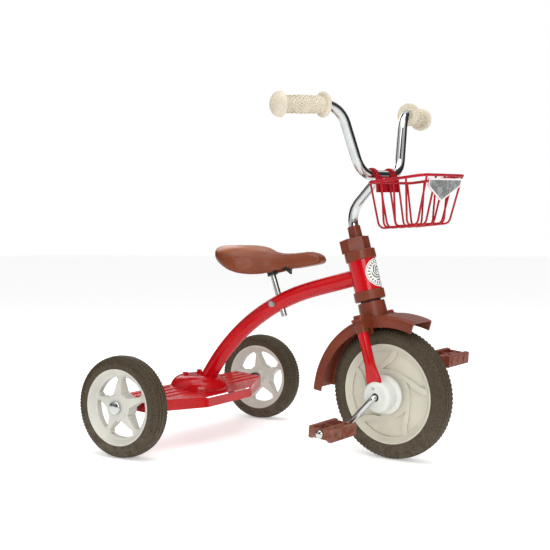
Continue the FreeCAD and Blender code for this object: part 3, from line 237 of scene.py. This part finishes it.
def finish_of(name, tone, other, size=20, spread=0.2, grain=400, bump=0.1, depth=0.0003, smooth=0.2,
              rough=0.35, scuffs=0.2, scuff_tone=(0.8, 0.8, 0.8, 1), dust=0.2, reach=0.12, metal=0.0,
              coat=0.0):
    """A finish with mottled colour, grain, varying gloss, hairline scuffs and dust."""
    mat = bpy.data.materials.new(name)
    mat.use_nodes = True
    tree = mat.node_tree
    shader = tree.nodes["Principled BSDF"]
    shader.inputs["Metallic"].default_value = metal
    shader.inputs["Coat Weight"].default_value = coat
    shader.inputs["Coat Roughness"].default_value = COAT_ROUGHNESS
    shader.inputs["Specular IOR Level"].default_value = METAL_SPECULAR if metal else OTHER_SPECULAR
    colour = add(tree, "Group", {"node_tree": uneven_tone}, Tone=(*tone, 1), Size=size, Spread=spread,
                 **{"Other Tone": (*other, 1)})
    skin = add(tree, "Group", {"node_tree": surface_skin}, Grain=grain, Smoothest=smooth, Roughest=rough)
    scuff = add(tree, "Group", {"node_tree": hairline_scuffs}, Amount=scuffs)
    low = add(tree, "Group", {"node_tree": floor_dust}, Reach=reach, Amount=dust)
    wear_and_painted_light = add(tree, "Mix", {"data_type": "RGBA"}, i0=scuff.outputs["Mask"], i6=colour.outputs["Color"],
               i7=scuff_tone)
    dusty = add(tree, "Mix", {"data_type": "RGBA"}, i0=low.outputs["Mask"], i6=wear_and_painted_light.outputs[2], i7=DUST)
    duller = add(tree, "Math", {"operation": "MULTIPLY_ADD"}, i0=low.outputs["Mask"], i1=DUST_DULLS,
                 i2=skin.outputs["Roughness"])
    relief = add(tree, "Bump", Strength=bump, Distance=depth, Height=skin.outputs["Height"])
    tree.links.new(dusty.outputs[2], shader.inputs["Base Color"])
    tree.links.new(duller.outputs[0], shader.inputs["Roughness"])
    tree.links.new(relief.outputs["Normal"], shader.inputs["Normal"])
    return mat


def dress(material, *names):
    """Give CAD pieces a finish."""
    for name in names:
        nodes[name].data.materials.clear()
        nodes[name].data.materials.append(material)


red_enamel = finish_of("red enamel", (0.50, 0.001, 0.005), (0.40, 0.001, 0.004), size=9, grain=260,
                       bump=0.12, depth=0.0004, smooth=0.12, rough=0.24, scuffs=0.10,
                       scuff_tone=(0.5, 0.03, 0.03, 1), dust=0.06, reach=0.12, coat=0.15)
dress(red_enamel, "main_tube", "head_tube", "rear_step", "fork_blade_left", "fork_blade_right", "steerer",
      "step_bolts")


# ------------------------------------------------------------------ brown mouldings
# Head cups, steering nut and sleeve, pedals, and the mudguard with the bridge inside it are moulded in
# a rust-brown polypropylene, coloured right through, with a faint mould texture and a soft shine.

rust_plastic = finish_of("rust brown plastic", (0.185, 0.036, 0.015), (0.140, 0.027, 0.012), size=14,
                         grain=700, bump=0.18, depth=0.0003, smooth=0.28, rough=0.42, scuffs=0.12,
                         scuff_tone=(0.4, 0.14, 0.09, 1), dust=0.25, reach=0.16)
dress(rust_plastic, "head_cup_upper", "head_cup_lower", "steering_nut", "stem_sleeve", "mudguard",
      "pedal_left", "pedal_right", "fork_bridge")


# ------------------------------------------------------------------ chromed and plated steel
# The handlebar, stem, crank and end caps are polished and chromed; the axle, seat post and small
# fasteners are only zinc plated, which is greyer and more matt.

bright_chrome = finish_of("bright chrome", (0.66, 0.68, 0.66), (0.56, 0.58, 0.57), size=30, grain=90,
                          bump=0.02, depth=0.0002, smooth=0.04, rough=0.12, scuffs=0.06, dust=0.1,
                          metal=1.0)
dress(bright_chrome, "handlebar", "stem", "crank", "pin_cap_left", "pin_cap_right", "hub_cap_left",
      "hub_cap_right")
zinc_plate = finish_of("zinc plate", (0.58, 0.59, 0.56), (0.44, 0.45, 0.43), size=60, grain=500, bump=0.15,
                       depth=0.0002, smooth=0.25, rough=0.45, scuffs=0.2, dust=0.2, metal=1.0)
dress(zinc_plate, "rear_axle", "seat_post", "seat_bolt", "seat_nut", "step_nuts", "cover_screws")


# ------------------------------------------------------------------ black bushes, washer and bracket
# The wheels turn in black nylon bushes, kept apart by nylon spacers, and the steering turns on a nylon
# washer. The saddle's pressed bracket is finished in the same dull black.

black_nylon = finish_of("black nylon", (0.02, 0.02, 0.02), (0.035, 0.034, 0.032), size=40, grain=600,
                        bump=0.2, smooth=0.4, rough=0.6, dust=0.3)
dress(black_nylon, "thrust_washer", "wheel_bush_left", "wheel_bush_right", "rear_bush_left",
      "rear_bush_right", "axle_spacer_left", "axle_spacer_right", "seat_bracket")


# ------------------------------------------------------------------ pale wheels and white hub covers
# The front wheel is moulded in cream polypropylene and the rear rims in a pale grey one. The front
# wheel's hub covers are a whiter, shinier plastic, screwed over the fork's feet.

cream_plastic = finish_of("cream plastic", (0.60, 0.575, 0.47), (0.53, 0.51, 0.42), size=12, grain=500,
                          bump=0.12, smooth=0.3, rough=0.45, scuffs=0.12, scuff_tone=(0.45, 0.42, 0.36, 1),
                          dust=0.3, reach=0.2)
dress(cream_plastic, "front_wheel")
grey_plastic = finish_of("pale grey plastic", (0.62, 0.61, 0.55), (0.54, 0.53, 0.48), size=12, grain=500,
                         bump=0.1, smooth=0.25, rough=0.4, scuffs=0.12, scuff_tone=(0.42, 0.41, 0.37, 1),
                         dust=0.15, reach=0.12)
dress(grey_plastic, "rear_rim_left", "rear_rim_right")
white_plastic = finish_of("white plastic", (0.66, 0.67, 0.63), (0.60, 0.61, 0.57), size=15, grain=400,
                          bump=0.08, smooth=0.22, rough=0.35, scuffs=0.1, scuff_tone=(0.6, 0.58, 0.5, 1),
                          dust=0.1)
dress(white_plastic, "hub_cover_left", "hub_cover_right")


# ------------------------------------------------------------------ basket
# The basket is one moulding of rim, ribs, back plate and two hooks, in the frame's red but in plastic,
# a little softer in shine. It hangs on the handlebar by its hooks.

basket_red = finish_of("basket red", (0.38, 0.001, 0.010), (0.28, 0.001, 0.008), size=18, grain=500,
                       bump=0.1, smooth=0.2, rough=0.35, scuffs=0.1, scuff_tone=(0.7, 0.1, 0.08, 1),
                       dust=0.0)
dress(basket_red, "basket")


# ------------------------------------------------------------------ basket's shield
# A thin pressed shield hangs under the basket's front edge: a red frame, a white border and a grey
# metal-effect field with a raised pattern. It is glued to the ribs and tips with the basket.

# The steering's parts turn about the leaning head tube, from straight ahead in the wheel's middle.
wheel_middle = Vector((0.2113, 0, 0.127))
lean = Vector((-0.246322, 0, 0.969188))
across_lean = (0.969188, 0, 0.246322)
steer = math.radians(-8.69)
steered = Matrix.Translation(wheel_middle) @ Matrix.Rotation(steer, 4, lean)


def piece(name, shape, body, *materials):
    """A finished mesh object that rides on a body."""
    mesh = bpy.data.meshes.new(name)
    shape.to_mesh(mesh)
    shape.free()
    made = bpy.data.objects.new(name, mesh)
    studio.collection.objects.link(made)
    for material in materials:
        mesh.materials.append(material)
    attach(made, body)
    return made


grey_field = finish_of("grey metal effect", (0.30, 0.32, 0.31), (0.16, 0.17, 0.165), size=90, spread=0.08,
                       grain=160, bump=0.6, depth=0.0012, smooth=0.3, rough=0.5, dust=0.0, metal=0.4)
white_border = finish_of("white print", (0.80, 0.74, 0.74), (0.72, 0.66, 0.66), size=40, dust=0.0)
shield_outline = ((-0.060, -0.006), (-0.058, -0.021), (0, -0.050), (0.058, -0.021), (0.060, -0.006))
red_frame_width, white_border_width, shield_thickness = 0.0018, 0.0032, 0.0016
shield = bmesh.new()
field = shield.faces.new([shield.verts.new((0, y, z)) for y, z in shield_outline])
for thickness, paint in ((red_frame_width, 0), (white_border_width, 1)):
    rim = bmesh.ops.inset_region(shield, faces=[field], thickness=thickness, use_boundary=True,
                                 use_even_offset=True)
    for face in rim["faces"]:
        face.material_index = paint
    field.material_index = 2
for corner in bmesh.ops.extrude_face_region(shield, geom=list(shield.faces))["geom"]:
    if isinstance(corner, bmesh.types.BMVert):
        corner.co.x += shield_thickness
bmesh.ops.recalc_face_normals(shield, faces=list(shield.faces))

# It lies against the basket's sloping front, below the rim, which tilts forwards from the handlebar.
bar_ahead, bar_up = -0.0165, 0.4183
basket_ahead, rim_drop = 0.0195, 0.0155
basket_tilt = math.radians(-4.5)
rim_depth, rim_wall = 0.121, 0.0028
front_slope = math.atan2(33, 86)
hung = (steered @ Matrix.Translation((bar_ahead + basket_ahead, 0, bar_up - rim_drop))
        @ Matrix.Rotation(basket_tilt, 4, "Y") @ Matrix.Translation((rim_depth + rim_wall, 0, 0))
        @ Matrix.Rotation(front_slope, 4, "Y"))
bmesh.ops.transform(shield, matrix=hung, verts=list(shield.verts))
shield = piece("basket_shield", shield, "basket", basket_red, white_border, grey_field)
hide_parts("basket_badge")


# ------------------------------------------------------------------ head badge
# A round vinyl sticker wrapped round the head tube: a white ground printed in dark green with a thin
# ring, a row of ticks and a plain leaf-like pattern in the middle.

badge_up_mm, head_tube_radius_mm = 232.5, 27.0
tick_count, leaf_count, leaf_pitch = 22.0, 5.0, 1.1
ground, dark_green = (0.80, 0.80, 0.77, 1), (0.05, 0.085, 0.06, 1)
badge_print = bpy.data.materials.new("badge print")
badge_print.use_nodes = True
art = badge_print.node_tree
place = add(art, "TexCoord")
from_wheel = add(art, "VectorMath", {"operation": "SUBTRACT"}, i0=place.outputs["Object"],
                 i1=wheel_middle)
up = add(art, "VectorMath", {"operation": "DOT_PRODUCT"}, i0=from_wheel.outputs[0], i1=lean)
ahead = add(art, "VectorMath", {"operation": "DOT_PRODUCT"}, i0=from_wheel.outputs[0],
            i1=across_lean)
sides = add(art, "SeparateXYZ", i0=from_wheel.outputs[0])
swing = add(art, "Math", {"operation": "ARCTAN2"}, i0=sides.outputs["Y"], i1=ahead.outputs["Value"])
around = add(art, "Math", {"operation": "MULTIPLY"}, i0=swing.outputs[0], i1=head_tube_radius_mm)
rise = add(art, "Math", {"operation": "MULTIPLY_ADD"}, i0=up.outputs["Value"], i1=1000.0,
           i2=-badge_up_mm)
flat = add(art, "CombineXYZ", i0=around.outputs[0], i1=rise.outputs[0])
reach = add(art, "VectorMath", {"operation": "LENGTH"}, i0=flat.outputs[0])
spoke = add(art, "Math", {"operation": "ARCTAN2"}, i0=rise.outputs[0], i1=around.outputs[0])
tick_turns = add(art, "Math", {"operation": "MULTIPLY"}, i0=spoke.outputs[0], i1=tick_count)
ticks = add(art, "Math", {"operation": "SINE"}, i0=tick_turns.outputs[0])
leaf_turns = add(art, "Math", {"operation": "MULTIPLY"}, i0=spoke.outputs[0], i1=leaf_count)
leaf_swirl = add(art, "Math", {"operation": "MULTIPLY_ADD"}, i0=reach.outputs["Value"], i1=leaf_pitch,
                 i2=leaf_turns.outputs[0])
leaves = add(art, "Math", {"operation": "SINE"}, i0=leaf_swirl.outputs[0])


def band(value, low, high):
    """One between two distances, nothing outside them."""
    over = add(art, "Math", {"operation": "GREATER_THAN"}, i0=value, i1=low)
    under = add(art, "Math", {"operation": "LESS_THAN"}, i0=value, i1=high)
    return add(art, "Math", {"operation": "MULTIPLY"}, i0=over.outputs[0], i1=under.outputs[0]).outputs[0]


outer_ring, tick_row, leaf_field = (25.2, 26.2), (18.5, 23.5), (3.0, 16.0)
printed = band(reach.outputs["Value"], *outer_ring)
for (low, high), wave, least in ((tick_row, ticks, 0.25), (leaf_field, leaves, 0.1)):
    share = add(art, "Math", {"operation": "MULTIPLY"}, i0=band(reach.outputs["Value"], low, high),
                i1=band(wave.outputs[0], least, 2.0))
    printed = add(art, "Math", {"operation": "MAXIMUM"}, i0=printed, i1=share.outputs[0]).outputs[0]
skin = add(art, "Group", {"node_tree": surface_skin}, Grain=300.0, Smoothest=0.2, Roughest=0.35)
inks = add(art, "Mix", {"data_type": "RGBA"}, i0=printed, i6=ground, i7=dark_green)
art.links.new(inks.outputs[2], art.nodes["Principled BSDF"].inputs["Base Color"])
art.links.new(skin.outputs["Roughness"], art.nodes["Principled BSDF"].inputs["Roughness"])
dress(badge_print, "head_badge")


# ------------------------------------------------------------------ tyres
# Solid tyres of olive-brown rubber, moulded with three ribs round the crown and a row of small slanted
# blocks along each shoulder. Each is stretched over its rim's lip and turns with its wheel.

tyre_rubber = finish_of("tyre rubber", (0.075, 0.056, 0.031), (0.045, 0.032, 0.019), size=260, grain=420,
                        bump=0.6, depth=0.0006, smooth=0.5, rough=0.72, scuffs=0.08,
                        scuff_tone=(0.14, 0.11, 0.08, 1), dust=0.12, reach=0.1)
half = 0.021
front_lip, front_crown = 0.0967, 0.127
rear_lip, rear_crown = 0.0746, 0.0995
left_hub = Matrix.Translation((-0.2447, 0.254, rear_crown))
right_hub = Matrix.Translation((-0.2447, -0.254, rear_crown))
tread_steps = 180
block_size, block_height, block_slant = 0.88, 0.0011, 0.0007
for name, body, hub, lip, crown in (
        ("front_tyre", "front_wheel", steered, front_lip, front_crown),
        ("rear_tyre_left", "rear_wheel_left", left_hub, rear_lip, rear_crown),
        ("rear_tyre_right", "rear_wheel_right", right_hub, rear_lip, rear_crown)):
    tread = bmesh.new()
    # half of the section, from the rim's lip up the side wall and over the shoulder to the crown
    line = [(half - 0.0041, lip - 0.004), (half - 0.0041, lip + 0.0003), (half - 0.0014, lip + 0.0008),
            (half, lip + 0.006), (half, crown - 0.0135), (half - 0.0006, crown - 0.0105),
            (half - 0.0022, crown - 0.0065), (half - 0.0055, crown - 0.0036),
            (half - 0.0085, crown - 0.0022), (half - 0.009, crown - 0.0034),
            (half - 0.0105, crown - 0.0034), (half - 0.011, crown - 0.0012),
            (half - 0.0155, crown - 0.0005), (half - 0.016, crown - 0.0022),
            (half - 0.0175, crown - 0.0022), (half - 0.018, crown)]
    ring = [tread.verts.new((0, y, r)) for y, r in line + [(-y, r) for y, r in reversed(line)]]
    edges = [tread.edges.new(pair) for pair in zip(ring, ring[1:] + ring[:1])]
    bmesh.ops.spin(tread, geom=ring + edges, cent=(0, 0, 0), axis=(0, 1, 0), angle=2 * math.pi,
                   steps=tread_steps, use_merge=True)
    bmesh.ops.remove_doubles(tread, verts=list(tread.verts), dist=0.00001)
    bmesh.ops.recalc_face_normals(tread, faces=list(tread.faces))
    # every other facet of the shoulder stands up as a block
    block_low, block_high = crown - 0.0125, crown - 0.0026
    blocks = []
    for face in tread.faces:
        middle = face.calc_center_median()
        step = round(math.degrees(math.atan2(middle.z, middle.x)) / 2 - 0.5)
        if block_low < math.hypot(middle.x, middle.z) < block_high and step % 2:
            blocks.append(face)
    for face in bmesh.ops.extrude_discrete_faces(tread, faces=blocks)["faces"]:
        out, middle = face.normal.copy(), face.calc_center_median()
        forwards = Vector((-middle.z, 0, middle.x)).normalized()
        slant = forwards * (block_slant if middle.y > 0 else -block_slant)
        for corner in face.verts:
            corner.co = middle + (corner.co - middle) * block_size + out * block_height + slant
    for face in tread.faces:
        face.smooth = True
    bmesh.ops.transform(tread, matrix=hub, verts=list(tread.verts))
    tyre = piece(name + "_tread", tread, body, tyre_rubber)
    tyre.modifiers.new("edges", "EDGE_SPLIT").split_angle = math.radians(32)
    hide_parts(name)


# ------------------------------------------------------------------ grips
# Cream rubber grips pushed on to the bar's ends, with a mushroom flange at each end. Rows of small
# round bumps are moulded round the barrel.

grip_rubber = finish_of("grip rubber", (0.62, 0.56, 0.44), (0.52, 0.47, 0.36), size=30, grain=700, bump=0.2,
                        smooth=0.45, rough=0.6, dust=0.0)
dress(grip_rubber, "grip_left", "grip_right")
bump_rows, bumps_round, bump_radius, row_pitch, first_row = 17, 14, 0.0016, 0.0048, 0.010
barrel_radius, barrel_swell = 0.0148, 0.0011
end_rings, end_bump_radius, end_face, end_dome = ((0.006, 6), (0.011, 12)), 0.0012, -0.0138, 12
for name, side in (("left", 1), ("right", -1)):
    bumps = bmesh.new()
    end, top = Vector((-0.0681, side * 0.2374, 0.5417)), Vector((-0.0305, side * 0.1086, 0.5458))
    along = (top - end).normalized()
    barrel = Matrix.Translation(end) @ along.to_track_quat("Z", "Y").to_matrix().to_4x4()
    for row in range(bump_rows):
        swell = barrel_radius + barrel_swell * math.sin(math.pi * row / (bump_rows - 1))
        out_and_along = Matrix.Translation((swell, 0, first_row + row_pitch * row))
        for turn in range(bumps_round):
            spot = Matrix.Rotation(2 * math.pi * (turn + row % 2 / 2) / bumps_round, 4, "Z")
            bmesh.ops.create_icosphere(bumps, subdivisions=1, radius=bump_radius,
                                       matrix=barrel @ spot @ out_and_along)
    for ring, count in end_rings:
        out_and_along = Matrix.Translation((ring, 0, end_face + ring * ring * end_dome))
        for turn in range(count):
            spot = Matrix.Rotation(2 * math.pi * turn / count, 4, "Z")
            bmesh.ops.create_icosphere(bumps, subdivisions=1, radius=end_bump_radius,
                                       matrix=barrel @ spot @ out_and_along)
    for face in bumps.faces:
        face.smooth = True
    bmesh.ops.transform(bumps, matrix=steered, verts=list(bumps.verts))
    piece("grip_bumps_" + name, bumps, "steering", grip_rubber)


# ------------------------------------------------------------------ saddle
# A padded saddle: soft foam under a chestnut vinyl cover, pulled tight over a pan and turned under at its
# lower edge. Its top is painted lighter tan, which is painted light from the lamps above. The foam barely
# swells the cover, because it is so tight.

saddle_vinyl = finish_of("saddle vinyl", (0.20, 0.046, 0.016), (0.15, 0.034, 0.012), size=14, grain=420,
                         bump=0.25, smooth=0.3, rough=0.46, scuffs=0.0, dust=0.0)
cover = saddle_vinyl.node_tree
cover_colour = cover.nodes["Principled BSDF"].inputs["Base Color"]
# Painted light: the cover is painted lighter tan above a height, with a ragged edge from a noise.
painted_light_starts, painted_light_full, painted_light_ragged = 0.399, 0.417, 0.012
painted_light_tan = (0.34, 0.11, 0.045, 1)
on_saddle = add(cover, "TexCoord").outputs["Object"]
height = add(cover, "SeparateXYZ", i0=on_saddle)
painted_light_edge_noise = add(cover, "TexNoise", Vector=on_saddle, Scale=28.0, Detail=4.0)
ragged_height = add(cover, "Math", {"operation": "MULTIPLY_ADD"}, i0=painted_light_edge_noise.outputs["Fac"], i1=painted_light_ragged,
                    i2=height.outputs["Z"])
wear_and_painted_light = add(cover, "MapRange", {"interpolation_type": "SMOOTHSTEP"}, i0=ragged_height.outputs[0],
           i1=painted_light_starts, i2=painted_light_full)
own_vinyl_colour = cover_colour.links[0].from_socket
tan_with_painted_light = add(cover, "Mix", {"data_type": "RGBA"}, i0=wear_and_painted_light.outputs[0], i6=own_vinyl_colour, i7=painted_light_tan)
cover.links.new(tan_with_painted_light.outputs[2], cover_colour)

# The foam is an even skin over the seat's own solid, with its corners eased.
skin_voxel, easing_passes = 0.0042, 6
foam = bmesh.new()
foam.from_mesh(nodes["seat"].data)
bmesh.ops.remove_doubles(foam, verts=list(foam.verts), dist=0.00002)
bmesh.ops.recalc_face_normals(foam, faces=list(foam.faces))
saddle = piece("saddle_cover", foam, "seat", saddle_vinyl)
remesh = saddle.modifiers.new("even skin", "REMESH")
remesh.mode, remesh.voxel_size = "VOXEL", skin_voxel
studio.view_layers[0].update()
even = bpy.data.meshes.new_from_object(saddle.evaluated_get(bpy.context.evaluated_depsgraph_get()))
saddle.modifiers.clear()
saddle.data = even
foam = bmesh.new()
foam.from_mesh(even)
for _ in range(easing_passes):
    bmesh.ops.smooth_vert(foam, verts=list(foam.verts), factor=0.5, use_axis_x=True, use_axis_y=True,
                          use_axis_z=True)
foam.normal_update()
foam.to_mesh(even)
foam.free()

# The cover is held at its lower edge and under the pan, and the foam pushes the rest outwards a little.
pan_edge, faces_down, foam_pressure, settling_frames, most_swell = 0.372, -0.6, 4, 20, 0.0025
tight = [vertex.co.copy() for vertex in even.vertices]
held = saddle.vertex_groups.new(name="held")
held.add([vertex.index for vertex in even.vertices
          if vertex.co.z < pan_edge or vertex.normal.z < faces_down], 1.0, "REPLACE")
cloth = saddle.modifiers.new("cover", "CLOTH")
cloth.settings.use_pressure = True
cloth.settings.uniform_pressure_force = foam_pressure
cloth.settings.effector_weights.gravity = 0
cloth.settings.vertex_group_mass = "held"
for number in range(1, settling_frames + 1):
    studio.frame_set(number)
swollen = bpy.data.meshes.new_from_object(saddle.evaluated_get(bpy.context.evaluated_depsgraph_get()))
saddle.modifiers.clear()
for vertex, rest, now in zip(even.vertices, tight, swollen.vertices):
    shift = now.co - rest
    vertex.co = rest + shift * min(1.0, most_swell / max(shift.length, 0.00001))
bpy.data.meshes.remove(swollen)
studio.frame_set(1)

# A short crease is pulled into each side, just above the cover's lower edge.
crease_depth, crease_long, crease_wide, crease_tall = 0.0055, 0.016, 0.02, 0.009
for vertex in even.vertices:
    for side in (-1, 1):
        away = vertex.co - Vector((-0.090, side * 0.068, 0.377))
        vertex.co.y -= side * crease_depth * math.exp(-(away.x / crease_long) ** 2
                                                      - (away.y / crease_wide) ** 2
                                                      - (away.z / crease_tall) ** 2)
for polygon in even.polygons:
    polygon.use_smooth = True
even.materials.clear()
even.materials.append(saddle_vinyl)
softer = saddle.modifiers.new("smooth cover", "SUBSURF")
softer.levels = softer.render_levels = 1
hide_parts("seat")
